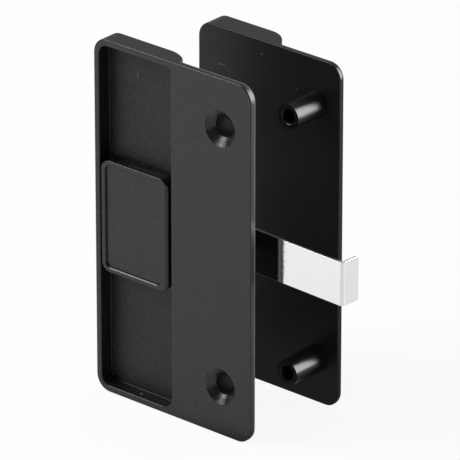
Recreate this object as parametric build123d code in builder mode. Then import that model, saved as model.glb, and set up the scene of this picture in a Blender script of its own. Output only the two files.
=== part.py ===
"""Sliding screen door latch and pull: an inside plate with a finger cup, a rocking thumb pad and a
steel hook, and the outside pull plate whose two hollow bosses take the screws.

Millimetres, X along the plates' width, Y from the room to the outdoors, Z up. The origin is the
centre of the two screw holes, on the inside plate's back, where it lies on the door.
"""
from math import cos, radians, sin, tan
import os

from build123d import *

# Inside plate
plate_width = 55.5
plate_height = 105.2
plate_thickness = 2.0
plate_corner_radius = 4.6
plate_edge_radius = 0.35
plate_back_run = 0.55
plate_back_inset = 0.15

# Screw holes: a wide cone, a steeper throat and a bore
screw_spacing = 76.2
screw_edge_distance = 10.8
screw_bore_radius = 2.95
screw_throat_radius = 3.7
screw_head_radius = 5.3
screw_cone_depth = 1.15
screw_throat_depth = 0.75
screw_collar_radius = 4.4
screw_collar_length = 7.3

# Finger cup of the inside plate, and the box that closes it behind the plate
cup_wall = 1.8
cup_end_wall = 1.9
cup_width = 25.5
cup_depth = 4.15
cup_floor = 2.15
cup_corner_radius = 2.9
cup_top_right_radius = 3.6
cup_bottom_right_radius = 1.3
cup_mouth_radius = 0.35
cup_root_bevel = 0.12
box_shoulder_run = 7.1
box_wall = 2.5
box_edge_bevel = 0.4

# Thumb pad: a dished rocker that is thicker on the side of the hook
pad_gap_left = 0.45
pad_gap_right = 1.35
pad_height = 33.3
pad_lift = 0.55
pad_corner_radius = 2.9
pad_left_depth = 1.75
pad_right_depth = 3.3
pad_rim = 1.4
pad_rim_right = 2.4
pad_right_round = 1.2
pad_edge_radius = 0.3
dish_depth = 0.6
dish_corner_radius = 1.7
dish_edge = 0.25
pad_web = 1.1
pad_wall = 1.3

# Stem of the pad, which passes the window in the cup's floor
stem_width = 8.0
stem_height = 16.8
stem_side_clearance = 0.7
stem_end_clearance = 0.4

# Pivot pin and the two ears that hold it
pin_radius = 0.8
pin_running_clearance = 0.05
pin_seat_clearance = 0.01
pin_end_clearance = 0.1
pin_sink = 0.3
ear_wall = 1.4
ear_length = 4.6
ear_end_wall = 0.9

# Steel strip of the hook, set at an angle to the pad; its middle, the stem and the pin lie a little high
strip_lift = 2.0
strip_height = 12.7
strip_thickness = 0.8
strip_angle = 2.47
strip_reach = 68.7
strip_tail = 5.2
strip_seat_depth = 1.56
hook_length = 6.2
bend_inner_radius = 0.35
strip_corner_radius = 0.5
strip_channel_clearance = 0.06

# Rivets that hold the strip on the stem
rivet_offset = 2.4
rivet_spacing = 6.6
rivet_radius = 1.2
rivet_hole_clearance = 0.05
rivet_head_radius = 2.2
rivet_head_height = 1.0
rivet_head_bevel = 0.5
rivet_depth = 2.6

# Outside plate, which lies on the other side of the door
outer_width = 49.9
outer_height = 102.1
outer_thickness = 2.4
outer_corner_radius = 4.5
outer_edge_radius = 1.5
outer_left_offset = 9.3
door_gap = 30.4

# Raised pull on the outside plate, with a cup that opens outdoors
pull_width = 27.0
pull_depth = 7.2
pull_shoulder_run = 6.7
pull_wall = 1.8
pull_lip_land = 1.7
pull_corner_radius = 2.7
pull_edge_radius = 0.4

# Bosses on the outside plate
boss_from_right = 8.1
boss_length = 11.9
boss_end_radius = 3.6
boss_draft = 1.0
boss_bore_radius = 2.1
boss_bore_depth = 11.0
boss_mouth = 0.25

# Places that follow from the sizes
plate_left = screw_edge_distance - plate_width
plate_middle = plate_left + plate_width / 2
plate_front = -plate_thickness
floor_front = plate_front + cup_depth
floor_back = floor_front + cup_floor
cup_left = plate_left + cup_wall
cup_right = cup_left + cup_width
box_right = cup_right + box_wall
pad_left = cup_left + pad_gap_left
pad_right = cup_right - pad_gap_right
pad_width = pad_right - pad_left
pivot_x = (pad_left + pad_right) / 2
pivot_y = floor_back + pin_radius + pin_running_clearance - pin_sink
seat_y = pivot_y + strip_seat_depth
window_width = stem_width + 2 * stem_side_clearance
window_height = stem_height + 2 * stem_end_clearance
outer_left = plate_left + outer_left_offset
outer_middle = outer_left + outer_width / 2
outer_bottom = -plate_height / 2
outer_centre_z = outer_bottom + outer_height / 2
outer_face = door_gap + outer_thickness
pull_right = outer_left + pull_width
pull_face = door_gap + pull_depth
boss_x = outer_left + outer_width - boss_from_right
boss_end = door_gap - boss_length


def facing(y: float, x: float = 0.0, z: float = 0.0) -> Plane:
    """Give the upright plane at depth y, seen from the room: X right, Z up, normal towards -Y."""
    return Plane(origin=(x, y, z), x_dir=(1, 0, 0), z_dir=(0, -1, 0))


def strip_level(z: float) -> Plane:
    """Give the level plane z above the strip's middle whose X runs along its front face from the pivot."""
    turn = radians(strip_angle)
    return Plane(origin=(pivot_x, seat_y, strip_lift + z), x_dir=(cos(turn), -sin(turn), 0), z_dir=(0, 0, 1))


# Inside plate: a slab with rounded corners and softened edges
with BuildPart() as slab:
    with BuildSketch(facing(0, plate_middle)):
        RectangleRounded(plate_width, plate_height, plate_corner_radius)
    extrude(amount=plate_thickness)
    fillet(slab.faces().sort_by(Axis.Y)[0].edges(), plate_edge_radius)
    slab_back = slab.faces().sort_by(Axis.Y)[-1]
    chamfer(slab_back.edges(), plate_back_inset, plate_back_run, reference=slab_back)

with BuildPart() as inside_plate:
    # The box behind the cup is a plan profile with a long round shoulder on the hook's side; it
    # starts inside the slab, so that the slab's bevelled back edge stays on the open side only
    with BuildSketch(Plane.XY.offset(-plate_height / 2)):
        with BuildLine():
            left = Line((plate_left, plate_front / 2), (plate_left, floor_back))
            back = Line(left @ 1, (box_right - box_shoulder_run, floor_back))
            shoulder = TangentArc(back @ 1, (box_right, 0), tangent=(1, 0))
            foot = Line(shoulder @ 1, (box_right, plate_front / 2))
            Line(foot @ 1, left @ 0)
        make_face()
    extrude(amount=plate_height)
    with BuildSketch(facing(floor_back, plate_middle)):
        RectangleRounded(plate_width, plate_height, plate_corner_radius)
    extrude(amount=floor_back - plate_front / 2, mode=Mode.INTERSECT)
    chamfer(inside_plate.faces().sort_by(Axis.Y)[-1].edges().sort_by(Axis.X)[:-1], box_edge_bevel)
    add(slab.part)

    # Finger cup, open to the room, with a softened mouth and a fine bevel round its floor
    with BuildSketch(facing(plate_front, (cup_left + cup_right) / 2)):
        Rectangle(cup_width, plate_height - 2 * cup_end_wall)
        fillet(vertices().group_by(Axis.X)[0], cup_corner_radius)
        right_corners = vertices().group_by(Axis.X)[-1].sort_by(Axis.Z)
        fillet(right_corners[0], cup_bottom_right_radius)
        fillet(vertices().group_by(Axis.X)[-1].sort_by(Axis.Z)[-1], cup_top_right_radius)
    extrude(amount=-cup_depth, mode=Mode.SUBTRACT)
    fillet(inside_plate.faces().sort_by(Axis.Y)[0].inner_wires()[0].edges(), cup_mouth_radius)
    cup_face = inside_plate.faces().filter_by(Axis.Y).filter_by_position(
        Axis.Y, floor_front - cup_root_bevel, floor_front + cup_root_bevel
    )
    chamfer(cup_face[0].edges(), cup_root_bevel)

    # Ears for the pivot pin, on the back of the cup's floor at both ends of the window
    for side in (1, -1):
        with BuildSketch(Plane.XY.offset(strip_lift + side * window_height / 2)):
            with Locations((pivot_x, pivot_y)):
                Circle(pin_radius + ear_wall)
            with Locations((pivot_x, (floor_front + pivot_y) / 2 + cup_floor / 4)):
                Rectangle(2 * (pin_radius + ear_wall), pivot_y - floor_front - cup_floor / 2)
        extrude(amount=side * ear_length)

    # Window for the stem, and the pin's bore, which is blind at the top
    with BuildSketch(facing(floor_front, pivot_x, strip_lift)):
        Rectangle(window_width, window_height)
    extrude(amount=-cup_floor, mode=Mode.SUBTRACT)
    with BuildSketch(Plane.XY.offset(strip_lift + window_height / 2 + ear_length - ear_end_wall)):
        with Locations((pivot_x, pivot_y)):
            Circle(pin_radius + pin_seat_clearance)
    extrude(amount=-(window_height + 2 * ear_length), mode=Mode.SUBTRACT)

    # Screw holes: a collar that reaches into the door, and a revolved cut of cone, throat and bore
    for height in (screw_spacing / 2, -screw_spacing / 2):
        with BuildSketch(facing(0, 0, height)):
            Circle(screw_collar_radius)
        extrude(amount=-screw_collar_length)
        with BuildSketch(Plane.XY.offset(height)):
            with BuildLine():
                Polyline(
                    (0, plate_front),
                    (screw_head_radius, plate_front),
                    (screw_throat_radius, plate_front + screw_cone_depth),
                    (screw_bore_radius, plate_front + screw_cone_depth + screw_throat_depth),
                    (screw_bore_radius, screw_collar_length),
                    (0, screw_collar_length),
                    close=True,
                )
            make_face()
        revolve(axis=Axis((0, 0, height), (0, 1, 0)), mode=Mode.SUBTRACT)

# Thumb pad: a wedge in plan, cut to a rounded outline
with BuildPart() as thumb_pad:
    with BuildSketch(Plane.XY.offset(pad_lift - pad_height / 2)):
        with BuildLine():
            Polyline(
                (pad_left, plate_front),
                (pad_right, plate_front),
                (pad_right, plate_front + pad_right_depth),
                (pad_left, plate_front + pad_left_depth),
                close=True,
            )
        make_face()
    extrude(amount=pad_height)
    with BuildSketch(facing(plate_front, (pad_left + pad_right) / 2, pad_lift)):
        RectangleRounded(pad_width, pad_height, pad_corner_radius)
    extrude(amount=-pad_right_depth, mode=Mode.INTERSECT)
    fillet(thumb_pad.faces().sort_by(Axis.Y)[0].edges(), pad_edge_radius)

    # The dish inside the rim, with a softened edge
    dish_left = pad_left + pad_rim
    dish_right = pad_right - pad_rim_right
    with BuildSketch(facing(plate_front, (dish_left + dish_right) / 2, pad_lift)):
        RectangleRounded(dish_right - dish_left, pad_height - 2 * pad_rim, dish_corner_radius)
    extrude(amount=-dish_depth, mode=Mode.SUBTRACT)
    rim_face = thumb_pad.faces().filter_by(Axis.Y).sort_by(Axis.Y)[0]
    chamfer(rim_face.inner_wires()[0].edges(), dish_edge)

    # The edge towards the hook is well rounded: what lies outside its arc is cut away
    with BuildSketch(Plane.XY.offset(pad_lift - pad_height / 2)):
        with BuildLine():
            arc_start = (pad_right - pad_right_round, plate_front)
            bow = TangentArc(arc_start, (pad_right, plate_front + pad_right_round), tangent=(1, 0))
            Polyline(
                bow @ 1,
                (pad_right + pad_right_round, plate_front + pad_right_round),
                (pad_right + pad_right_round, plate_front - pad_right_round),
                (pad_right - pad_right_round, plate_front - pad_right_round),
                arc_start,
            )
        make_face()
    extrude(amount=pad_height, mode=Mode.SUBTRACT)

    # The pad is cored out from behind, which leaves an even web under the dish
    with BuildSketch(facing(plate_front + pad_right_depth, (pad_left + pad_right) / 2, pad_lift)):
        RectangleRounded(pad_width - 2 * pad_wall, pad_height - 2 * pad_wall, dish_corner_radius)
    extrude(amount=pad_right_depth - dish_depth - pad_web, mode=Mode.SUBTRACT)

    # The stem reaches through the window and ends in a channel for the strip
    with BuildSketch(Plane.XY.offset(strip_lift - stem_height / 2)):
        with BuildLine():
            rise = (stem_width / 2) * tan(radians(strip_angle))
            Polyline(
                (pivot_x - stem_width / 2, plate_front + dish_depth + pad_web / 2),
                (pivot_x + stem_width / 2, plate_front + dish_depth + pad_web / 2),
                (pivot_x + stem_width / 2, seat_y - rise + strip_thickness),
                (pivot_x - stem_width / 2, seat_y + rise + strip_thickness),
                close=True,
            )
        make_face()
    extrude(amount=stem_height)
    channel_height = strip_height + 2 * strip_channel_clearance
    with BuildSketch(strip_level(-channel_height / 2)):
        with Locations((0, strip_thickness)):
            Rectangle(2 * stem_width, 2 * strip_thickness)
    extrude(amount=channel_height, mode=Mode.SUBTRACT)

    # Running bore for the pivot pin
    with BuildSketch(Plane.XY.offset(strip_lift - stem_height / 2)):
        with Locations((pivot_x, pivot_y)):
            Circle(pin_radius + pin_running_clearance)
    extrude(amount=stem_height, mode=Mode.SUBTRACT)

    # Holes for the rivets' shanks
    with BuildSketch(Plane(strip_level(0).origin, strip_level(0).x_dir, -strip_level(0).y_dir)):
        with Locations((rivet_offset, rivet_spacing / 2), (rivet_offset, -rivet_spacing / 2)):
            Circle(rivet_radius)
    extrude(amount=rivet_depth, mode=Mode.SUBTRACT)

# Pivot pin, with both ends broken
with BuildPart() as pivot_pin:
    pin_top = window_height / 2 + ear_length - ear_end_wall - pin_end_clearance
    with BuildSketch(Plane.XY.offset(strip_lift - window_height / 2 - ear_length)):
        with Locations((pivot_x, pivot_y)):
            Circle(pin_radius)
    extrude(amount=pin_top + window_height / 2 + ear_length)
    chamfer(pivot_pin.edges().filter_by(GeomType.CIRCLE), pin_radius / 4)

# Latch hook: a strip with one square bend, drawn in plan
with BuildPart() as latch_hook:
    with BuildSketch(strip_level(-strip_height / 2)):
        with BuildLine():
            Polyline(
                (-strip_tail, 0),
                (strip_reach, 0),
                (strip_reach, hook_length),
                (strip_reach - strip_thickness, hook_length),
                (strip_reach - strip_thickness, strip_thickness),
                (-strip_tail, strip_thickness),
                close=True,
            )
        make_face()
    extrude(amount=strip_height)
    upright = latch_hook.edges().filter_by(Axis.Z).sort_by(Axis.X)
    outer_bend = upright[-4:].sort_by(Axis.Y)[0]
    fillet(outer_bend, bend_inner_radius + strip_thickness)
    inner_bend = latch_hook.edges().filter_by(Axis.Z).sort_by_distance(
        strip_level(0).from_local_coords((strip_reach - strip_thickness, strip_thickness, 0))
    )[0]
    fillet(inner_bend, bend_inner_radius)
    hook_end = latch_hook.faces().sort_by(Axis.Y)[-1]
    tail_end = latch_hook.faces().sort_by(Axis.X)[0]
    corners = hook_end.edges().filter_by(Axis.Z, reverse=True).sort_by(SortBy.LENGTH)[:2]
    corners += tail_end.edges().filter_by(Axis.Z, reverse=True).sort_by(SortBy.LENGTH)[:2]
    fillet(corners, strip_corner_radius)
    with BuildSketch(Plane(strip_level(0).origin, strip_level(0).x_dir, -strip_level(0).y_dir)):
        with Locations((rivet_offset, rivet_spacing / 2), (rivet_offset, -rivet_spacing / 2)):
            Circle(rivet_radius + rivet_hole_clearance)
    extrude(amount=-strip_thickness, mode=Mode.SUBTRACT)


def make_rivet(z: float) -> Part:
    """Make the rivet z above the strip's middle: a shank in the stem and a bevelled head on the strip."""
    foot = strip_level(z)
    level = Plane(foot.from_local_coords((rivet_offset, 0, 0)), x_dir=(0, 0, 1), z_dir=foot.x_dir)
    with BuildPart() as rivet:
        with BuildSketch(level):
            with BuildLine():
                top = -(strip_thickness + rivet_head_height)
                Polyline(
                    (0, rivet_depth),
                    (rivet_radius, rivet_depth),
                    (rivet_radius, -strip_thickness),
                    (rivet_head_radius, -strip_thickness),
                    (rivet_head_radius, top + rivet_head_bevel),
                    (rivet_head_radius - rivet_head_bevel, top),
                    (0, top),
                    close=True,
                )
            make_face()
        revolve(axis=Axis(level.origin, level.y_dir))
    return rivet.part


rivet_upper = make_rivet(rivet_spacing / 2)
rivet_lower = make_rivet(-rivet_spacing / 2)

# Outside plate: its slab has a well rounded outer edge
with BuildPart() as outer_slab:
    with BuildSketch(facing(outer_face, outer_middle, outer_centre_z)):
        RectangleRounded(outer_width, outer_height, outer_corner_radius)
    extrude(amount=outer_thickness)
    fillet(outer_slab.faces().sort_by(Axis.Y)[-1].edges(), outer_edge_radius)
    fillet(outer_slab.faces().sort_by(Axis.Y)[0].edges(), plate_edge_radius)

with BuildPart() as outside_plate:
    # The raised pull is a plan profile with a round shoulder, flush with the plate on three sides
    with BuildSketch(Plane.XY.offset(outer_bottom)):
        with BuildLine():
            flank = Line((outer_left, door_gap + plate_edge_radius), (outer_left, pull_face))
            crest = Line(flank @ 1, (pull_right - pull_shoulder_run, pull_face))
            fall = TangentArc(crest @ 1, (pull_right, outer_face), tangent=(1, 0))
            foot = Line(fall @ 1, (pull_right, door_gap + plate_edge_radius))
            Line(foot @ 1, flank @ 0)
        make_face()
    extrude(amount=outer_height)
    with BuildSketch(facing(pull_face, outer_middle, outer_centre_z)):
        RectangleRounded(outer_width, outer_height, outer_corner_radius)
    extrude(amount=pull_depth, mode=Mode.INTERSECT)
    fillet(outside_plate.faces().sort_by(Axis.Y)[-1].edges().sort_by(Axis.X)[:-1], pull_edge_radius)
    add(outer_slab.part)

    # Cup of the pull, between the outer flank and the lip
    pull_cup_left = outer_left + pull_wall
    pull_cup_right = pull_right - pull_shoulder_run - pull_lip_land
    with BuildSketch(facing(pull_face, (pull_cup_left + pull_cup_right) / 2, outer_centre_z)):
        RectangleRounded(pull_cup_right - pull_cup_left, outer_height - 2 * pull_wall, pull_corner_radius)
    extrude(amount=pull_depth - outer_thickness, mode=Mode.SUBTRACT)

    # Bosses: drafted, with a chamfered blind bore for each screw
    boss_heights = (outer_centre_z + screw_spacing / 2, outer_centre_z - screw_spacing / 2)
    for height in boss_heights:
        root_radius = boss_end_radius + boss_length * tan(radians(boss_draft))
        with BuildSketch(Plane.XY.offset(height)):
            with BuildLine():
                Polyline(
                    (boss_x, boss_end),
                    (boss_x + boss_end_radius, boss_end),
                    (boss_x + root_radius, door_gap),
                    (boss_x + root_radius, door_gap + outer_thickness / 2),
                    (boss_x, door_gap + outer_thickness / 2),
                    close=True,
                )
            make_face()
        revolve(axis=Axis((boss_x, 0, height), (0, 1, 0)))
        with BuildSketch(facing(boss_end, boss_x, height)):
            Circle(boss_bore_radius)
        extrude(amount=-boss_bore_depth, mode=Mode.SUBTRACT)
    mouths = outside_plate.edges().filter_by(GeomType.CIRCLE).filter_by_position(
        Axis.Y, boss_end - boss_mouth / 2, boss_end + boss_mouth / 2
    )
    chamfer(mouths.filter_by(lambda e: e.radius < (boss_bore_radius + boss_end_radius) / 2), boss_mouth)

inside_plate.part.label = "inside_plate"
thumb_pad.part.label = "thumb_pad"
pivot_pin.part.label = "pivot_pin"
latch_hook.part.label = "latch_hook"
rivet_upper.label = "rivet_upper"
rivet_lower.label = "rivet_lower"
outside_plate.part.label = "outside_plate"

os.makedirs("parts", exist_ok=True)
export_step(inside_plate.part, "parts/inside_plate.step")
export_step(thumb_pad.part, "parts/thumb_pad.step")
export_step(pivot_pin.part, "parts/pivot_pin.step")
export_step(latch_hook.part, "parts/latch_hook.step")
export_step(rivet_upper, "parts/rivet_upper.step")
export_step(rivet_lower, "parts/rivet_lower.step")
export_step(outside_plate.part, "parts/outside_plate.step")
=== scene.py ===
"""Studio scene of a sliding screen door latch and pull.

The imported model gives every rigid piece; this file dresses them in moulded black plastic and bright
steel, adds the small marks that moulding leaves, and sets the camera, the floor and the light.
"""
import logging
from dataclasses import dataclass, field
from enum import Enum
from math import cos, pi, radians, sin

import bpy
import numpy as np
from mathutils import Matrix, Vector


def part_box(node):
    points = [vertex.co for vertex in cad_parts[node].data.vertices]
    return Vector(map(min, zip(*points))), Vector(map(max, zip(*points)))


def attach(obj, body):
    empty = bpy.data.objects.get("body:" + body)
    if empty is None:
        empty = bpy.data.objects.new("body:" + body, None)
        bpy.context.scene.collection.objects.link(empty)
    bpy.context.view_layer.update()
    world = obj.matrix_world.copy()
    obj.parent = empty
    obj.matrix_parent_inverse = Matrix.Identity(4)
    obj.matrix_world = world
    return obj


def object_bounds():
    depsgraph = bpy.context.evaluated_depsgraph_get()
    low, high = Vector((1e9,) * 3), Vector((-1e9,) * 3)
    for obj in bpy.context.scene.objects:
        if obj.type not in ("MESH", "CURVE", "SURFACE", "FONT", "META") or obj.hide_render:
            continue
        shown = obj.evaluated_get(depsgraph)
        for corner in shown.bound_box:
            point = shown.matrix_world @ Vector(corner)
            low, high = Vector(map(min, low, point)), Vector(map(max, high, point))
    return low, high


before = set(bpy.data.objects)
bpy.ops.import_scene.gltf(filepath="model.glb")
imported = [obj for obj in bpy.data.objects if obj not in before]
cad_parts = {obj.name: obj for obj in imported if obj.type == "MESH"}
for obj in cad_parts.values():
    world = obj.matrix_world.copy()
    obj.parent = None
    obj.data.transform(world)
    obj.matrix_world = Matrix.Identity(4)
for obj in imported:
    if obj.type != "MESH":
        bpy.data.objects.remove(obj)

LOG = logging.getLogger("latch")
MM = 0.001
CAD_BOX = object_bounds()


class Body(Enum):
    """The rigid bodies that pieces ride on."""

    PLATES = "plates"
    ROCKER = "rocker"


class Slot(Enum):
    """The record's material slots."""

    PLASTIC = "black_plastic"
    PAD = "pad_plastic"
    BRIGHT = "bright_steel"
    DRAWN = "pin_steel"


class Graph:
    """A shader node tree with short calls to add and join nodes."""

    def __init__(self, tree: bpy.types.NodeTree) -> None:
        """Keep the tree that nodes are added to."""
        self.tree = tree

    def add(self, kind: str, settings: dict | None = None, **inputs: object) -> bpy.types.Node:
        """Add one node and fill or link its inputs.

        Args:
            kind: Blender's type name of the node.
            settings: node properties, such as an operation.
            inputs: values or sockets by input name, with _ for a blank; i0, i1 count the inputs.

        Returns:
            The new node.
        """
        node = self.tree.nodes.new(kind)
        for key, value in (settings or {}).items():
            setattr(node, key, value)
        for key, value in inputs.items():
            name = int(key[1:]) if key[0] == "i" and key[1:].isdigit() else key.replace("_", " ")
            if isinstance(value, bpy.types.NodeSocket):
                self.tree.links.new(value, node.inputs[name])
            else:
                node.inputs[name].default_value = value
        return node

    def math(self, operation: str, *values: object) -> bpy.types.NodeSocket:
        """Give the result of a maths node over one to three values or sockets."""
        inputs = {f"i{place}": value for place, value in enumerate(values)}
        return self.add("ShaderNodeMath", {"operation": operation}, **inputs).outputs[0]

    def mix(self, factor: object, low: object, high: object) -> bpy.types.NodeSocket:
        """Give low at factor 0 and high at factor 1, as a number."""
        node = self.add("ShaderNodeMix", {"data_type": "FLOAT"}, i0=factor, i2=low, i3=high)
        return node.outputs[0]

    def mix_colour(self, factor: object, low: object, high: object) -> bpy.types.NodeSocket:
        """Give low at factor 0 and high at factor 1, as a colour."""
        node = self.add("ShaderNodeMix", {"data_type": "RGBA"}, i0=factor, i6=low, i7=high)
        return node.outputs[2]

    def span(self, value: object, low: float, high: float) -> bpy.types.NodeSocket:
        """Give a smooth step of a value.

        Args:
            value: the value or socket that is stepped.
            low: where the step starts, at 0.
            high: where it is full, at 1; it may lie below low.

        Returns:
            The step.
        """
        settings = {"interpolation_type": "SMOOTHSTEP"}
        node = self.add("ShaderNodeMapRange", settings, Value=value, From_Min=low, From_Max=high)
        return node.outputs[0]

    def vector(self, operation: str, first: object, second: object) -> bpy.types.Node:
        """Add a vector maths node over two values or sockets."""
        return self.add("ShaderNodeVectorMath", {"operation": operation}, i0=first, i1=second)

    def noise(
        self, place: bpy.types.NodeSocket, scale: object, detail: float, rough: float = 0.5
    ) -> bpy.types.NodeSocket:
        """Give a noise around a half, at a scale in repeats to the metre.

        Args:
            place: where it is read.
            scale: repeats to the metre, as a value or a socket.
            detail: how many finer layers it has.
            rough: how strong each finer layer is.

        Returns:
            The noise.
        """
        node = self.add(
            "ShaderNodeTexNoise", Vector=place, Scale=scale, Detail=detail, Roughness=rough
        )
        return node.outputs["Fac"]

    def join(self, source: bpy.types.NodeSocket, target: bpy.types.NodeSocket) -> None:
        """Link one socket to another."""
        self.tree.links.new(source, target)


def grey(level: float) -> tuple[float, float, float, float]:
    """Give a neutral colour of one level."""
    return (level, level, level, 1)


def shaded(colour: tuple[float, float, float], share: float) -> tuple[float, ...]:
    """Give a colour times a share, with full alpha."""
    return (*(channel * share for channel in colour), 1)


def new_group(
    name: str, inputs: dict[str, tuple[str, object]], outputs: dict[str, str]
) -> tuple[Graph, bpy.types.Node, bpy.types.Node]:
    """Make an empty shader node group with named sockets.

    Args:
        name: the group's name.
        inputs: socket kind and default by input name.
        outputs: socket kind by output name.

    Returns:
        The group's graph, its input node and its output node.
    """
    tree = bpy.data.node_groups.new(name, "ShaderNodeTree")
    for label, (kind, default) in inputs.items():
        socket = tree.interface.new_socket(
            name=label, in_out="INPUT", socket_type=f"NodeSocket{kind}"
        )
        socket.default_value = default
    for label, kind in outputs.items():
        tree.interface.new_socket(name=label, in_out="OUTPUT", socket_type=f"NodeSocket{kind}")
    graph = Graph(tree)
    return graph, tree.nodes.new("NodeGroupInput"), tree.nodes.new("NodeGroupOutput")


# The grain: pits and mottle by grain size, the pits' share of the height, and the ranges of
# noise that become the gloss and shade masks.
PIT_SPREAD = 0.6
PIT_SHARE = 0.35
MOTTLE_SPREAD = 0.5
GLOSS_SPAN = (0.32, 0.68)
SHADE_SPAN = (0.36, 0.64)


def moulded_grain() -> bpy.types.NodeTree:
    """Build the eroded grain of a mould: fine pits over a slow swell, with a faint mottle.

    Returns:
        A group from place, grain size and swell size to a height, a gloss mask and a shade mask.
    """
    graph, given, result = new_group(
        "moulded_grain",
        {"Place": ("Vector", (0, 0, 0)), "Grain": ("Float", 0.3 * MM), "Swell": ("Float", 9 * MM)},
        {"Height": "Float", "Gloss": "Float", "Shade": "Float"},
    )
    place, size = given.outputs["Place"], given.outputs["Grain"]
    fine = graph.noise(place, graph.math("DIVIDE", 1.0, size), detail=3.0, rough=0.62)
    pit_scale = graph.math("DIVIDE", PIT_SPREAD, size)
    pits = graph.add("ShaderNodeTexVoronoi", Vector=place, Scale=pit_scale)
    slow = graph.noise(place, graph.math("DIVIDE", 1.0, given.outputs["Swell"]), detail=2.0)
    mottle = graph.noise(place, graph.math("DIVIDE", MOTTLE_SPREAD, size), detail=2.0, rough=0.6)
    height = graph.math("MULTIPLY_ADD", pits.outputs["Distance"], PIT_SHARE, fine)
    graph.join(height, result.inputs["Height"])
    graph.join(graph.span(slow, *GLOSS_SPAN), result.inputs["Gloss"])
    graph.join(graph.span(mottle, *SHADE_SPAN), result.inputs["Shade"])
    return graph.tree


def ring_mark() -> bpy.types.NodeTree:
    """Build the faint circle that an ejector pin leaves on a flat face.

    Returns:
        A group from place, centre, radius and width to a mask that is 1 on the circle's line.
    """
    graph, given, result = new_group(
        "ring_mark",
        {
            "Place": ("Vector", (0, 0, 0)), "Centre": ("Vector", (0, 0, 0)),
            "Radius": ("Float", 3 * MM), "Width": ("Float", 0.2 * MM),
        },
        {"Line": "Float"},
    )
    ends = given.outputs["Place"], given.outputs["Centre"]
    away = graph.vector("DISTANCE", *ends).outputs["Value"]
    off_line = graph.math("ABSOLUTE", graph.math("SUBTRACT", away, given.outputs["Radius"]))
    line = graph.math("SUBTRACT", 1.0, graph.math("DIVIDE", off_line, given.outputs["Width"]))
    graph.join(graph.math("MAXIMUM", line, 0.0), result.inputs["Line"])
    return graph.tree


# The cosines between a rounded normal and the face's own at which wear starts and is full.
EDGE_LEAN = (0.99, 0.86)


def rubbed_edge() -> bpy.types.NodeTree:
    """Build a mask of convex and concave edges from how far a rounded normal leans off the face.

    Returns:
        A group from an edge width to a mask that is 1 at edges.
    """
    width = {"Width": ("Float", 0.3 * MM)}
    graph, given, result = new_group("rubbed_edge", width, {"Edge": "Float"})
    rounded = graph.add("ShaderNodeBevel", {"samples": 4}, Radius=given.outputs["Width"])
    plain = graph.add("ShaderNodeNewGeometry")
    lean = graph.vector("DOT_PRODUCT", rounded.outputs[0], plain.outputs["Normal"]).outputs["Value"]
    graph.join(graph.span(lean, *EDGE_LEAN), result.inputs["Edge"])
    return graph.tree


class Shared:
    """The node groups that several finishes use, each built once."""

    groups: dict[str, bpy.types.NodeTree] = {}
    makers = {"moulded_grain": moulded_grain, "ring_mark": ring_mark, "rubbed_edge": rubbed_edge}

    @classmethod
    def group(cls, name: str) -> bpy.types.NodeTree:
        """Give a group, building it on first use.

        Args:
            name: the group's name.

        Returns:
            The group.
        """
        if name not in cls.groups:
            cls.groups[name] = cls.makers[name]()
        return cls.groups[name]


def empty_material(name: str) -> tuple[bpy.types.Material, Graph]:
    """Make a material without nodes.

    Args:
        name: the material's name.

    Returns:
        The material and its graph.
    """
    material = bpy.data.materials.new(name)
    material.use_nodes = True
    material.node_tree.nodes.clear()
    return material, Graph(material.node_tree)


def new_material(
    name: str,
) -> tuple[bpy.types.Material, Graph, bpy.types.Node, bpy.types.NodeSocket]:
    """Make a material with a Principled shader joined to its output.

    Args:
        name: the material's name.

    Returns:
        The material, its graph, the shader and the Object coordinates.
    """
    material, graph = empty_material(name)
    shader = graph.add("ShaderNodeBsdfPrincipled")
    graph.add("ShaderNodeOutputMaterial", Surface=shader.outputs[0])
    return material, graph, shader, graph.add("ShaderNodeTexCoord").outputs["Object"]


def finish_material(
    graph: Graph,
    shader: bpy.types.Node,
    tint: bpy.types.NodeSocket,
    roughness: bpy.types.NodeSocket,
    height: bpy.types.NodeSocket,
    normal: bpy.types.NodeSocket | None = None,
) -> None:
    """Join a finish's colour, roughness and relief to its shader.

    Args:
        graph: the material's graph.
        shader: its Principled shader.
        tint: the base colour.
        roughness: the roughness.
        height: the relief in metres.
        normal: a normal that the relief is added to, or the face's own.
    """
    bump = graph.add("ShaderNodeBump", Height=height, Distance=1.0, Strength=1.0)
    if normal:
        graph.join(normal, bump.inputs["Normal"])
    graph.join(tint, shader.inputs["Base Color"])
    graph.join(roughness, shader.inputs["Roughness"])
    graph.join(bump.outputs[0], shader.inputs["Normal"])


@dataclass(frozen=True)
class RingPlace:
    """Where an ejector pin left its circle, in the frame's metres."""

    centre: tuple[float, float, float]
    radius: float
    strength: float = 1.0


@dataclass(frozen=True)
class ScrewHole:
    """A screw hole round the line X = 0 at one height, with a turned cone and a matt bore in painted
    shade.
    """

    height: float
    bore_radius: float = 3.0 * MM
    head_radius: float = 5.35 * MM
    cone_roughness: float = 0.27
    turn_spacing: float = 0.42 * MM
    turn_depth: float = 0.0022 * MM
    # The bore's near black colour: painted shade for the dark inside of the hole.
    bore_painted_shade: float = 0.0002


@dataclass(frozen=True)
class HoleMasks:
    """The distance from a screw hole's axis, and masks that are 1 inside its head and its bore."""

    away: bpy.types.NodeSocket
    cone: bpy.types.NodeSocket
    bore: bpy.types.NodeSocket


@dataclass(frozen=True)
class Face:
    """What a plastic's nodes know of a point: where it lies, which way it looks, and its grain.

    The lean is the normal's Y, facing is the lean towards the show side, and show is 1 on the
    faces of that side.
    """

    place: bpy.types.NodeSocket
    lean: bpy.types.NodeSocket
    facing: bpy.types.NodeSocket
    show: bpy.types.NodeSocket
    height: bpy.types.NodeSocket
    gloss: bpy.types.NodeSocket
    shade: bpy.types.NodeSocket


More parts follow.
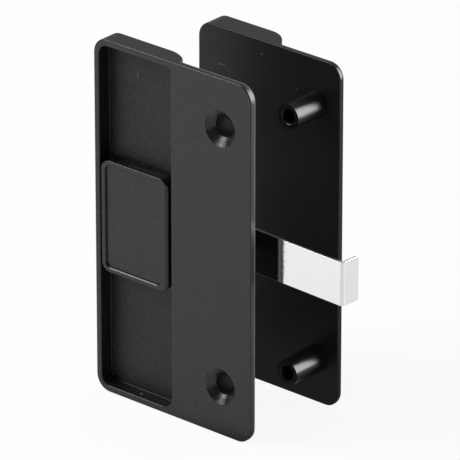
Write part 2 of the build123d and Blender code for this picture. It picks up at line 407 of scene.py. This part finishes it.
@dataclass(frozen=True)
class MouldedPlastic:
    """Black moulded plastic: a fine eroded grain on the show side, smoother elsewhere.

    Roughness moves between satin and smooth with a slow noise on the show side, and is polish on
    the faces that look the other way, side on the walls between them, and rubbed on edges. Below
    the depth that deep states, as in a cup, it has a value of its own, and so has the rim outside
    the box that band states. The bump is the grain's height. The colour moves between the shares
    that mottle states. A bevel towards the back can be painted pale, a painted highlight for the
    line of light it catches, and the screw bores are painted near black, as painted shade.
    """

    name: str
    colour: tuple[float, float, float] = (0.0055, 0.0055, 0.0057)
    mottle: tuple[float, float] = (0.3, 2.2)
    away_mottle: float = 0.4
    satin: float = 0.31
    smooth: float = 0.26
    grain: float = 0.34 * MM
    relief: float = 0.045 * MM
    away_relief: float = 0.05
    index: float = 1.49
    deep: tuple[float, float] | None = None
    polish: float = 0.24
    side: float = 0.24
    rubbed: float = 0.2
    least_wear: float = 0.35
    show_side: float = -1.0
    show_span: tuple[float, float] = (0.1, 0.5)
    wall_span: tuple[float, float] = (0.4, 0.25)
    edge_width: float = 0.25 * MM
    painted_back_highlight: float = 0.0
    back_rise: tuple[float, float] = (0.1, 0.2)
    back_fall: tuple[float, float] = (0.5, 0.34)
    least_highlight: float = 0.75
    holes: tuple[ScrewHole, ...] = ()
    rings: tuple[RingPlace, ...] = ()
    ring_width: float = 0.16 * MM
    ring_height: float = 0.03 * MM
    ring_share: float = 0.35
    ring_grey: float = 0.05
    band: tuple[tuple[float, float], tuple[float, float]] | None = None

    def build(self) -> bpy.types.Material:
        """Build the material's nodes.

        Returns:
            The material.
        """
        material, graph, shader, place = new_material(self.name)
        face = self.read_face(graph, place)
        lines = [self.ring_line(graph, face, ring) for ring in self.rings]
        masks = [self.hole_masks(graph, place, hole) for hole in self.holes]
        finish_material(
            graph, shader, self.tint(graph, face, lines, masks), self.roughness(graph, face, masks),
            self.height(graph, face, lines, masks),
        )
        shader.inputs["IOR"].default_value = self.index
        return material

    def read_face(self, graph: Graph, place: bpy.types.NodeSocket) -> Face:
        """Give the grain and the direction at each point.

        Args:
            graph: the material's graph.
            place: the Object coordinates.

        Returns:
            The sockets that the finish is worked out from.
        """
        settings = {"node_tree": Shared.group("moulded_grain")}
        grain = graph.add("ShaderNodeGroup", settings, Place=place, Grain=self.grain).outputs
        normal = graph.add("ShaderNodeTexCoord").outputs["Normal"]
        lean = graph.add("ShaderNodeSeparateXYZ", Vector=normal).outputs["Y"]
        facing = graph.math("MULTIPLY", lean, self.show_side)
        show = graph.span(facing, *self.show_span)
        return Face(place, lean, facing, show, grain["Height"], grain["Gloss"], grain["Shade"])

    def ring_line(self, graph: Graph, face: Face, ring: RingPlace) -> bpy.types.NodeSocket:
        """Give 1 on a ring's line, on the faces that look away from the show side.

        Args:
            graph: the material's graph.
            face: what is known of each point.
            ring: the ring's place and radius.

        Returns:
            The line's mask.
        """
        mark = graph.add(
            "ShaderNodeGroup", {"node_tree": Shared.group("ring_mark")}, Place=face.place,
            Centre=ring.centre, Radius=ring.radius, Width=self.ring_width,
        )
        away_side = graph.span(face.facing, *(-limit for limit in self.show_span))
        return graph.math("MULTIPLY", mark.outputs["Line"], away_side)

    def hole_masks(self, graph: Graph, place: bpy.types.NodeSocket, hole: ScrewHole) -> HoleMasks:
        """Give the masks of a screw hole's head and bore.

        Args:
            graph: the material's graph.
            place: the Object coordinates.
            hole: the hole's height and radii.

        Returns:
            The distance from its axis and the two masks.
        """
        away = self.off_axis(graph, place, hole.height)
        cone = graph.math("LESS_THAN", away, hole.head_radius)
        return HoleMasks(away, cone, graph.math("LESS_THAN", away, hole.bore_radius))

    def tint(
        self, graph: Graph, face: Face, lines: list[bpy.types.NodeSocket], masks: list[HoleMasks]
    ) -> bpy.types.NodeSocket:
        """Give the base colour: the mottle, then the rings, a painted highlight on the back bevel and
        painted shade in the bores.

        Args:
            graph: the material's graph.
            face: what is known of each point.
            lines: one mask for each ring.
            masks: the masks of each screw hole.

        Returns:
            The colour.
        """
        dark, light = (shaded(self.colour, share) for share in self.mottle)
        tint = graph.mix_colour(graph.mix(face.show, self.away_mottle, face.shade), dark, light)
        for ring, line in zip(self.rings, lines):
            share = graph.math("MULTIPLY", line, self.ring_share * ring.strength)
            tint = graph.mix_colour(share, tint, grey(self.ring_grey))
        # Painted highlight: the back bevel is coloured paler where it would catch a line of light.
        if self.painted_back_highlight:
            rise = graph.span(face.lean, *self.back_rise)
            bevel = graph.math("MULTIPLY", rise, graph.span(face.lean, *self.back_fall))
            highlight_share = graph.math("MULTIPLY", bevel, graph.mix(face.gloss, self.least_highlight, 1.0))
            tint = graph.mix_colour(highlight_share, tint, grey(self.painted_back_highlight))
        # Painted shade: each bore is coloured near black, darker than the plastic, for the shade
        # inside it.
        for hole, mask in zip(self.holes, masks):
            tint = graph.mix_colour(mask.bore, tint, grey(hole.bore_painted_shade))
        return tint

    def roughness(self, graph: Graph, face: Face, masks: list[HoleMasks]) -> bpy.types.NodeSocket:
        """Give the roughness of the show side, walls, edges, cup, rim and holes.

        Args:
            graph: the material's graph.
            face: what is known of each point.
            masks: the masks of each screw hole.

        Returns:
            The roughness.
        """
        show_rough = graph.mix(face.gloss, self.satin, self.smooth)
        wall = graph.span(graph.math("ABSOLUTE", face.lean), *self.wall_span)
        roughness = graph.mix(face.show, graph.mix(wall, self.polish, self.side), show_rough)
        settings = {"node_tree": Shared.group("rubbed_edge")}
        edge = graph.add("ShaderNodeGroup", settings, Width=self.edge_width).outputs["Edge"]
        worn = graph.math("MULTIPLY", edge, graph.mix(face.shade, self.least_wear, 1.0))
        roughness = graph.mix(worn, roughness, self.rubbed)
        if self.deep:
            floor, floor_roughness = self.deep
            depth = graph.add("ShaderNodeSeparateXYZ", Vector=face.place).outputs["Y"]
            in_cup = graph.math("MULTIPLY", face.show, graph.math("GREATER_THAN", depth, floor))
            roughness = graph.mix(in_cup, roughness, floor_roughness)
        if self.band:
            roughness = graph.mix(self.band_mask(graph, face.place), roughness, self.polish)
        for hole, mask in zip(self.holes, masks):
            roughness = graph.mix(mask.cone, roughness, hole.cone_roughness)
            roughness = graph.mix(mask.bore, roughness, 1.0)
        return roughness

    def height(
        self, graph: Graph, face: Face, lines: list[bpy.types.NodeSocket], masks: list[HoleMasks]
    ) -> bpy.types.NodeSocket:
        """Give the relief: the grain, the rings and the turned circles of the screw cones.

        Args:
            graph: the material's graph.
            face: what is known of each point.
            lines: one mask for each ring.
            masks: the masks of each screw hole.

        Returns:
            The height in metres.
        """
        relief = graph.mix(face.show, self.relief * self.away_relief, self.relief)
        height = graph.math("MULTIPLY", face.height, relief)
        for ring, line in zip(self.rings, lines):
            height = graph.math("MULTIPLY_ADD", line, self.ring_height * ring.strength, height)
        for hole, mask in zip(self.holes, masks):
            turns = graph.math("MULTIPLY", mask.away, 2 * pi / hole.turn_spacing)
            turned = graph.math("MULTIPLY", graph.math("SINE", turns), mask.cone)
            height = graph.math("MULTIPLY_ADD", turned, hole.turn_depth, height)
        return height

    @staticmethod
    def off_axis(graph: Graph, place: bpy.types.NodeSocket, height: float) -> bpy.types.NodeSocket:
        """Give the distance from the line along Y at X = 0 and the stated height."""
        flat = graph.vector("MULTIPLY", place, (1.0, 0.0, 1.0)).outputs[0]
        return graph.vector("DISTANCE", flat, (0.0, 0.0, height)).outputs["Value"]

    def band_mask(self, graph: Graph, place: bpy.types.NodeSocket) -> bpy.types.NodeSocket:
        """Give 1 outside the box in X and Z that band states, such as on a dish's rim.

        Args:
            graph: the material's graph.
            place: the Object coordinates.

        Returns:
            The mask.
        """
        (low_x, high_x), (low_z, high_z) = self.band
        parts = graph.add("ShaderNodeSeparateXYZ", Vector=place)
        past = []
        for axis, low, high in (("X", low_x, high_x), ("Z", low_z, high_z)):
            off = graph.math("SUBTRACT", parts.outputs[axis], (low + high) / 2)
            past.append(graph.math("GREATER_THAN", graph.math("ABSOLUTE", off), (high - low) / 2))
        return graph.math("MAXIMUM", *past)


@dataclass(frozen=True)
class BrightStrip:
    """Plated spring steel: a blurred mirror with fine waves, broken edges and a few small dents.

    Rolling streaks shade it a little, and it is rougher round its bend, where the normal leans
    between the two flat directions.
    """

    name: str
    colour: tuple[float, float, float] = (0.91, 0.91, 0.915)
    roughness: float = 0.09
    bend_roughness: float = 0.35
    bend_span: tuple[float, float] = (0.08, 0.25)
    wave: tuple[float, float, float] = (2.2 * MM, 2.2 * MM, 1.2 * MM)
    wave_depth: float = 0.021 * MM
    dent_spacing: float = 2.6 * MM
    dent_span: tuple[float, float] = (0.02, 0.1)
    dent_depth: float = 0.016 * MM
    streak_stretch: tuple[float, float, float] = (0.5, 1.0, 0.8)
    streak_scale: float = 2600.0
    streak_span: tuple[float, float] = (0.45, 0.75)
    streak_roughness: float = 1.4
    streak_shade: float = 0.93
    streak_depth: float = 0.0004 * MM
    edge_radius: float = 0.1 * MM

    def build(self) -> bpy.types.Material:
        """Build the material's nodes.

        Returns:
            The material.
        """
        material, graph, shader, place = new_material(self.name)
        stretched = graph.add("ShaderNodeMapping", Vector=place, Scale=self.streak_stretch)
        streaks = graph.noise(stretched.outputs[0], self.streak_scale, detail=3.0)
        streak = graph.span(streaks, *self.streak_span)
        clean, dull = (shaded(self.colour, share) for share in (1.0, self.streak_shade))
        tint = graph.mix_colour(streak, clean, dull)
        height = self.height(graph, place, streaks)
        broken = graph.add("ShaderNodeBevel", {"samples": 6}, Radius=self.edge_radius).outputs[0]
        finish_material(graph, shader, tint, self.blur(graph, streak), height, broken)
        shader.inputs["Metallic"].default_value = 1.0
        return material

    def blur(self, graph: Graph, streak: bpy.types.NodeSocket) -> bpy.types.NodeSocket:
        """Give the roughness of the flats, with their streaks, and of the bend.

        Args:
            graph: the material's graph.
            streak: a mask that is 1 on the streaks.

        Returns:
            The roughness.
        """
        normal = graph.add("ShaderNodeTexCoord").outputs["Normal"]
        lean = graph.add("ShaderNodeSeparateXYZ", Vector=normal).outputs
        turned = graph.math("ABSOLUTE", graph.math("MULTIPLY", lean["X"], lean["Y"]))
        flats = graph.mix(streak, self.roughness, self.roughness * self.streak_roughness)
        return graph.mix(graph.span(turned, *self.bend_span), flats, self.bend_roughness)

    def height(
        self, graph: Graph, place: bpy.types.NodeSocket, streaks: bpy.types.NodeSocket
    ) -> bpy.types.NodeSocket:
        """Give the relief of the waves, the streaks and the dents.

        Args:
            graph: the material's graph.
            place: the Object coordinates.
            streaks: the streaks' noise.

        Returns:
            The height in metres.
        """
        sizes = tuple(1 / size for size in self.wave)
        rolled = graph.add("ShaderNodeMapping", Vector=place, Scale=sizes).outputs[0]
        waves = graph.noise(rolled, 1.0, detail=2.0)
        cells = graph.add("ShaderNodeTexVoronoi", Vector=place, Scale=1 / self.dent_spacing)
        dents = graph.span(cells.outputs["Distance"], *self.dent_span)
        height = graph.math("MULTIPLY", waves, self.wave_depth)
        height = graph.math("MULTIPLY_ADD", streaks, self.streak_depth, height)
        return graph.math("MULTIPLY_ADD", dents, self.dent_depth, height)


@dataclass(frozen=True)
class DrawnSteel:
    """Plain drawn steel of the pin and the rivets: a dull metal with fine scratches."""

    name: str
    colour: tuple[float, float, float] = (0.52, 0.51, 0.49)
    roughness: float = 0.3
    scratch_scale: float = 3200.0
    scratch_depth: float = 0.004 * MM
    worn_span: tuple[float, float] = (0.4, 0.7)
    worn_shade: float = 0.75
    worn_roughness: float = 1.6

    def build(self) -> bpy.types.Material:
        """Build the material's nodes.

        Returns:
            The material.
        """
        material, graph, shader, place = new_material(self.name)
        scratches = graph.noise(place, self.scratch_scale, detail=4.0, rough=0.7)
        worn = graph.span(scratches, *self.worn_span)
        clean, dull = (shaded(self.colour, share) for share in (1.0, self.worn_shade))
        tint = graph.mix_colour(worn, clean, dull)
        roughness = graph.mix(worn, self.roughness, self.roughness * self.worn_roughness)
        height = graph.math("MULTIPLY", scratches, self.scratch_depth)
        finish_material(graph, shader, tint, roughness, height)
        shader.inputs["Metallic"].default_value = 1.0
        return material


def dress(node: str, material: bpy.types.Material) -> None:
    """Give a CAD node one material in place of its own.

    Args:
        node: the node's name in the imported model.
        material: the finish.
    """
    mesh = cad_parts[node].data
    mesh.materials.clear()
    mesh.materials.append(material)
    LOG.info("%s: %d faces in %s", node, len(mesh.polygons), material.name)


def grid_mesh(name: str, points: np.ndarray, capped: bool = True) -> bpy.types.Mesh:
    """Make a mesh from a grid of points that closes round its second parameter.

    Args:
        name: the mesh's name.
        points: rows x columns x 3 coordinates in metres.
        capped: whether one face closes each end row.

    Returns:
        Quads between neighbours, the last column joined to the first.
    """
    rows, columns, _ = points.shape
    row, column = np.meshgrid(np.arange(rows - 1), np.arange(columns), indexing="ij")
    beside = (column + 1) % columns
    near, far = row * columns, (row + 1) * columns
    quads = np.stack([near + column, near + beside, far + beside, far + column], axis=-1)
    quads = quads.reshape(-1, 4)
    ends = [list(range(columns))[::-1], list(range((rows - 1) * columns, rows * columns))]
    mesh = bpy.data.meshes.new(name)
    mesh.from_pydata(points.reshape(-1, 3).tolist(), [], quads.tolist() + (ends if capped else []))
    return mesh


def grid_piece(
    name: str, points: np.ndarray, body: Body, material: bpy.types.Material
) -> bpy.types.Object:
    """Make a piece from a closed grid of points and put it on its body.

    Args:
        name: the piece's name.
        points: rows x columns x 3 coordinates in metres.
        body: the body it rides on.
        material: its finish.

    Returns:
        The new object.
    """
    mesh = grid_mesh(name, points)
    mesh.shade_smooth()
    mesh.materials.append(material)
    piece = bpy.data.objects.new(name, mesh)
    bpy.context.scene.collection.objects.link(piece)
    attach(piece, body.value)
    LOG.info("%s: %d faces on %s", name, len(mesh.polygons), body.value)
    return piece


NIB_TOP = 0.97


def nib_points(
    centre: Vector, out: Vector, radius: float, height: float, rings: int = 7, sides: int = 20
) -> np.ndarray:
    """Give the grid of a low round nib.

    A point at ring angle t and turn a lies at centre + radius cos t (across) + height sin t (out),
    so the nib is the half of an ellipsoid that stands on a face. Its rings end a little short of
    the top, where one flat face closes it.

    Args:
        centre: the foot's centre on the face.
        out: the face's outward direction.
        radius: the foot's radius.
        height: how far it stands out.
        rings: rows of points.
        sides: points round each row.

    Returns:
        rings x sides x 3 coordinates.
    """
    across = out.orthogonal().normalized()
    along = out.cross(across)
    tilt = np.linspace(0.0, pi / 2 * NIB_TOP, rings)[:, None, None]
    turn = np.linspace(0.0, 2 * pi, sides, endpoint=False)[None, :, None]
    sideways = np.cos(turn) * np.array(across) + np.sin(turn) * np.array(along)
    foot = np.array(centre) + radius * np.cos(tilt) * sideways
    return foot + height * np.sin(tilt) * np.array(out)


@dataclass
class InsidePlate:
    """The room side plate: its finish, and the gate nibs left in the cup."""

    node: str = "inside_plate"
    floor_depth: float = 4.15 * MM
    floor_margin: float = 0.5 * MM
    floor_roughness: float = 0.55
    wall_roughness: float = 0.42
    # The grey of the painted highlight on the back bevel, standing in for a line of light.
    back_highlight_grey: float = 0.15
    floor_nib: tuple[float, float] = (12.3 * MM, 95.8 * MM)
    wall_nib: tuple[float, float] = (14.7 * MM, 1.9 * MM)
    nib_radius: float = 0.5 * MM
    nib_height: float = 0.3 * MM
    # Painted highlight: the nibs' grey is far paler than the plate's black, for the speck of light
    # they catch.
    nib_highlight_grey: float = 0.05
    screw_spacing: float = 76.2 * MM
    low: Vector = field(init=False)

    def __post_init__(self) -> None:
        """Read the plate's lowest corner from the frame."""
        self.low = Vector(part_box(self.node)[0])

    def build(self) -> None:
        """Dress the plate, with turned screw cones, bores in painted shade and a painted highlight on
        its back bevel, and add its nibs.
        """
        holes = tuple(ScrewHole(side * self.screw_spacing / 2) for side in (1, -1))
        floor = self.low.y + self.floor_depth - self.floor_margin
        finish = MouldedPlastic(
            "inside_plate_plastic", side=self.wall_roughness, deep=(floor, self.floor_roughness),
            painted_back_highlight=self.back_highlight_grey, holes=holes,
        )
        dress(self.node, finish.build())
        # Painted highlight: the nibs get a pale copy of the black plastic to show their bright speck.
        plastic = MouldedPlastic(
            "nib_plastic", colour=(self.nib_highlight_grey,) * 3, satin=0.22, smooth=0.2, relief=0.0
        ).build()
        across, up = self.floor_nib
        foot = self.low + Vector((across, self.floor_depth, up))
        self.nib("cup_floor_nib", foot, Vector((0, -1, 0)), plastic)
        across, up = self.wall_nib
        foot = self.low + Vector((across, self.floor_depth / 2, up))
        self.nib("cup_wall_nib", foot, Vector((0, 0, 1)), plastic)

    def nib(self, name: str, foot: Vector, out: Vector, plastic: bpy.types.Material) -> None:
        """Put one gate nib on the plate.

        Args:
            name: the piece's name.
            foot: the middle of its foot.
            out: the direction that it stands out in.
            plastic: its finish.
        """
        points = nib_points(foot, out, self.nib_radius, self.nib_height)
        grid_piece(name, points, Body.PLATES, plastic)


@dataclass
class OutsidePlate:
    """The outdoor plate, whose door face shows the circles of two ejector pins and a few flecks."""

    node: str = "outside_plate"
    ring_across: float = 8.2 * MM
    ring_heights: tuple[float, float] = (88.0 * MM, 14.0 * MM)
    ring_radius: float = 3.1 * MM
    ring_strength: float = 4.0
    flecks: tuple[tuple[float, float], ...] = (
        (22.6 * MM, 98.2 * MM), (34.9 * MM, 91.4 * MM), (47.5 * MM, 6.2 * MM),
    )
    fleck_radius: float = 0.25 * MM
    fleck_strength: float = 2.5
    boss_length: float = 11.9 * MM
    outdoor_relief: float = 0.012 * MM
    index: float = 1.38
    door_roughness: float = 0.38
    wall_roughness: float = 0.3

    def build(self) -> None:
        """Build the plate's own finish with its rings and flecks, and dress it."""
        ring = (self.ring_radius, self.ring_strength)
        fleck = (self.fleck_radius, self.fleck_strength)
        marks = [(self.ring_across, up, *ring) for up in self.ring_heights]
        marks += [(across, up, *fleck) for across, up in self.flecks]
        low = Vector(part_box(self.node)[0])
        rings = tuple(
            RingPlace((low.x + across, low.y + self.boss_length, low.z + up), radius, strength)
            for across, up, radius, strength in marks
        )
        finish = MouldedPlastic(
            "outside_plate_plastic", relief=self.outdoor_relief, index=self.index,
            polish=self.door_roughness, side=self.wall_roughness, show_side=1.0, rings=rings,
        )
        dress(self.node, finish.build())


@dataclass
class Rocker:
    """The thumb pad with its hook, and the rivets and pin that hold them."""

    rim: float = 1.4 * MM
    satin: float = 0.38
    smooth: float = 0.3
    rubbed: float = 0.42

    def build(self, bright: bpy.types.Material, drawn: bpy.types.Material) -> None:
        """Dress the pad, the strip, the rivets and the pin.

        Args:
            bright: the strip's finish.
            drawn: the finish of the pin and the rivets.
        """
        low, high = (Vector(corner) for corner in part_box("thumb_pad"))
        band = ((low.x + self.rim, high.x - self.rim), (low.z + self.rim, high.z - self.rim))
        pad = MouldedPlastic(
            "thumb_pad_plastic", satin=self.satin, smooth=self.smooth, rubbed=self.rubbed, band=band
        )
        dress("thumb_pad", pad.build())
        dress("latch_hook", bright)
        for node in ("rivet_upper", "rivet_lower", "pivot_pin"):
            dress(node, drawn)


@dataclass(frozen=True)
class Lamp:
    """A rectangular softbox that faces the object's middle and stays out of the view.

    Its radiance is how bright its face is, where the white background is 1. A lamp that isn't
    plain lights gloss alone and leaves matt surfaces as they are.
    """

    name: str
    place: tuple[float, float, float]
    width: float
    height: float
    radiance: float
    plain: bool = True

    def hang(self) -> None:
        """Add the lamp to the scene."""
        data = bpy.data.lights.new(self.name, "AREA")
        data.shape = "RECTANGLE"
        data.size = self.width
        data.size_y = self.height
        data.energy = self.radiance * pi * self.width * self.height
        lamp = bpy.data.objects.new(self.name, data)
        lamp.location = self.place
        lamp.rotation_euler = (-Vector(self.place)).to_track_quat("-Z", "Y").to_euler()
        lamp.visible_camera = False
        lamp.visible_diffuse = self.plain
        bpy.context.scene.collection.objects.link(lamp)


@dataclass
class Studio:
    """A white table and surround, a dim tent for gloss, soft lamps and the camera.

    The camera stands where the plate's near lower left corner falls on a given pixel at a given
    depth, with the view's turn, tilt and focal length in pixels measured from the photograph.
    Gloss sees two sectors of the table dimmer, each round a bearing from one apex.
    """

    turn: float = 40.54
    tilt: float = 24.817
    focal: float = 6136.1
    corner_across: float = 96.94
    corner_down: float = 387.20
    depth: float = 1690.58 * MM
    frame_side: float = 460.0
    sensor: float = 36.0
    clip: tuple[float, float] = (0.1, 20.0)
    floor_half: float = 3.0
    floor_white: float = 0.86
    floor_shown: float = 0.9
    sector_shown: float = 0.35
    sector_span: tuple[float, float] = (0.35, 0.75)
    sector_apex: tuple[float, float] = (20 * MM, -10 * MM)
    front_bearing: float = -50.0
    front_level: float = 0.8
    back_bearing: float = 114.0
    back_level: float = 0.3
    ambient: float = 0.62
    tent_radius: float = 1.7
    tent_front: float = 0.08
    tent_back: float = 0.47
    tent_half: float = 0.5
    tent_top: float = 0.995
    tent_grid: tuple[int, int] = (12, 48)
    lamps: tuple[Lamp, ...] = (
        Lamp("key", (-0.7, -0.56, 0.76), 0.6, 0.6, 8.0),
        Lamp("rim", (0.42, 0.46, 0.16), 0.42, 0.7, 15.0, plain=False),
    )

    def camera(self) -> None:
        """Make the camera and set it as the scene's own."""
        turn, tilt = radians(self.turn), radians(self.tilt)
        right = Vector((cos(turn), sin(turn), 0))
        ahead = Vector((-sin(turn) * cos(tilt), cos(turn) * cos(tilt), -sin(tilt)))
        up = right.cross(ahead)
        corner = Vector(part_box("inside_plate")[0])
        middle = self.frame_side / 2
        across = (self.corner_across - middle) * self.depth / self.focal
        rise = (middle - self.corner_down) * self.depth / self.focal
        place = corner - right * across - up * rise - ahead * self.depth
        data = bpy.data.cameras.new("camera")
        data.sensor_width = self.sensor
        data.lens = self.focal * self.sensor / self.frame_side
        data.clip_start, data.clip_end = self.clip
        camera = bpy.data.objects.new("camera", data)
        turned = Matrix((right, up, -ahead)).transposed().to_4x4()
        camera.matrix_world = Matrix.Translation(place) @ turned
        bpy.context.scene.collection.objects.link(camera)
        bpy.context.scene.camera = camera

    def floor(self) -> None:
        """Lay the table under the plates, white to the camera, with the object's soft shadow."""
        level = CAD_BOX[0][2]
        side = self.floor_half
        mesh = bpy.data.meshes.new("table")
        corners = [(-side, -side), (side, -side), (side, side), (-side, side)]
        mesh.from_pydata([(*corner, level) for corner in corners], [], [(0, 1, 2, 3)])
        table = bpy.data.objects.new("table", mesh)
        bpy.context.scene.collection.objects.link(table)
        mesh.materials.append(self.table_white())

    def table_white(self) -> bpy.types.Material:
        """Build the table's material: a matt white that the camera and gloss see as mostly lit.

        Returns:
            The material.
        """
        material, graph = empty_material("table_white")
        plain = graph.add("ShaderNodeBsdfDiffuse", Color=grey(self.floor_white))
        white = graph.add("ShaderNodeEmission", Color=grey(1.0))
        gloss = graph.add("ShaderNodeLightPath").outputs["Is Glossy Ray"]
        front = self.sector(graph, self.front_bearing)
        back = self.sector(graph, self.back_bearing)
        strength = graph.math(
            "MULTIPLY", graph.mix(graph.math("MULTIPLY", gloss, front), 1.0, self.front_level),
            graph.mix(graph.math("MULTIPLY", gloss, back), 1.0, self.back_level),
        )
        graph.join(strength, white.inputs["Strength"])
        gloss_share = graph.mix(graph.math("MAXIMUM", front, back), self.sector_shown, 1.0)
        share = graph.mix(gloss, self.floor_shown, gloss_share)
        shown = graph.math("MULTIPLY", self.seen(graph), share)
        blend = graph.add("ShaderNodeMixShader", i0=shown, i1=plain.outputs[0], i2=white.outputs[0])
        graph.add("ShaderNodeOutputMaterial", Surface=blend.outputs[0])
        return material

    @staticmethod
    def seen(graph: Graph) -> bpy.types.NodeSocket:
        """Give 1 for camera, glossy and transmission rays, and 0 for the rays that only light.

        Args:
            graph: the material's or the world's graph.

        Returns:
            The mask.
        """
        path = graph.add("ShaderNodeLightPath").outputs
        shown = graph.math("MAXIMUM", path["Is Camera Ray"], path["Is Glossy Ray"])
        return graph.math("MAXIMUM", shown, path["Is Transmission Ray"])

    def sector(self, graph: Graph, bearing: float) -> bpy.types.NodeSocket:
        """Give 1 on one sector of the table, which gloss sees dimmer.

        Args:
            graph: the table's graph.
            bearing: the sector's middle, in degrees from X towards Y.

        Returns:
            The mask.
        """
        place = graph.add("ShaderNodeTexCoord").outputs["Object"]
        from_apex = graph.vector("SUBTRACT", place, (*self.sector_apex, CAD_BOX[0][2])).outputs[0]
        way = graph.add("ShaderNodeVectorMath", {"operation": "NORMALIZE"}, i0=from_apex).outputs[0]
        axis = (cos(radians(bearing)), sin(radians(bearing)), 0)
        along = graph.vector("DOT_PRODUCT", way, axis).outputs["Value"]
        return graph.span(along, *self.sector_span)

    def surround(self) -> None:
        """Make the world white to the eye and to gloss, and a plain soft fill as a light."""
        world = bpy.data.worlds.new("surround")
        world.use_nodes = True
        world.node_tree.nodes.clear()
        graph = Graph(world.node_tree)
        strength = graph.mix(self.seen(graph), self.ambient, 1.0)
        shade = graph.add("ShaderNodeBackground", Color=grey(1.0), Strength=strength)
        graph.add("ShaderNodeOutputWorld", Surface=shade.outputs[0])
        bpy.context.scene.world = world

    @staticmethod
    def hide_from_eye(piece: bpy.types.Object) -> None:
        """Leave a studio piece to gloss alone, and link it to the scene.

        Args:
            piece: the piece, not yet in the scene.
        """
        piece.visible_camera = False
        piece.visible_diffuse = False
        piece.visible_shadow = False
        piece.visible_transmission = False
        bpy.context.scene.collection.objects.link(piece)

    def tent(self) -> None:
        """Build the dim dome that gloss sees above the table, darkest on the camera's side.

        A point at rise t and turn a lies at radius (cos t cos a, cos t sin a, sin t), from the
        table's level up, and its shade rises from front to back.
        """
        rows, columns = self.tent_grid
        rise = np.linspace(0.0, pi / 2 * self.tent_top, rows)[:, None]
        turn = np.linspace(0.0, 2 * pi, columns, endpoint=False)[None, :]
        across = np.cos(rise)
        up = np.sin(rise) + 0 * turn
        points = np.stack([across * np.cos(turn), across * np.sin(turn), up], axis=-1)
        points = self.tent_radius * points
        mesh = grid_mesh("tent", points + np.array((0.0, 0.0, CAD_BOX[0][2])), capped=False)
        material, graph = empty_material("tent_grey")
        place = graph.add("ShaderNodeTexCoord").outputs["Object"]
        depth = graph.add("ShaderNodeSeparateXYZ", Vector=place).outputs["Y"]
        reach = self.tent_half * self.tent_radius
        shade = graph.mix(graph.span(depth, -reach, reach), self.tent_front, self.tent_back)
        face = graph.add("ShaderNodeEmission", Color=grey(1.0), Strength=shade)
        graph.add("ShaderNodeOutputMaterial", Surface=face.outputs[0])
        mesh.materials.append(material)
        self.hide_from_eye(bpy.data.objects.new("tent", mesh))

    def build(self) -> None:
        """Set up the camera, the table, the surround, the tent and the lamps."""
        self.camera()
        self.floor()
        self.surround()
        self.tent()
        for lamp in self.lamps:
            lamp.hang()
        bpy.context.scene.view_settings.view_transform = "Standard"


def main() -> None:
    """Build the studio and every sub-assembly in order."""
    logging.basicConfig(level=logging.INFO, format="%(name)s %(message)s")
    Studio().build()
    InsidePlate().build()
    OutsidePlate().build()
    Rocker().build(BrightStrip("bright_strip").build(), DrawnSteel("drawn_steel").build())


if __name__ == "__main__":
    main()
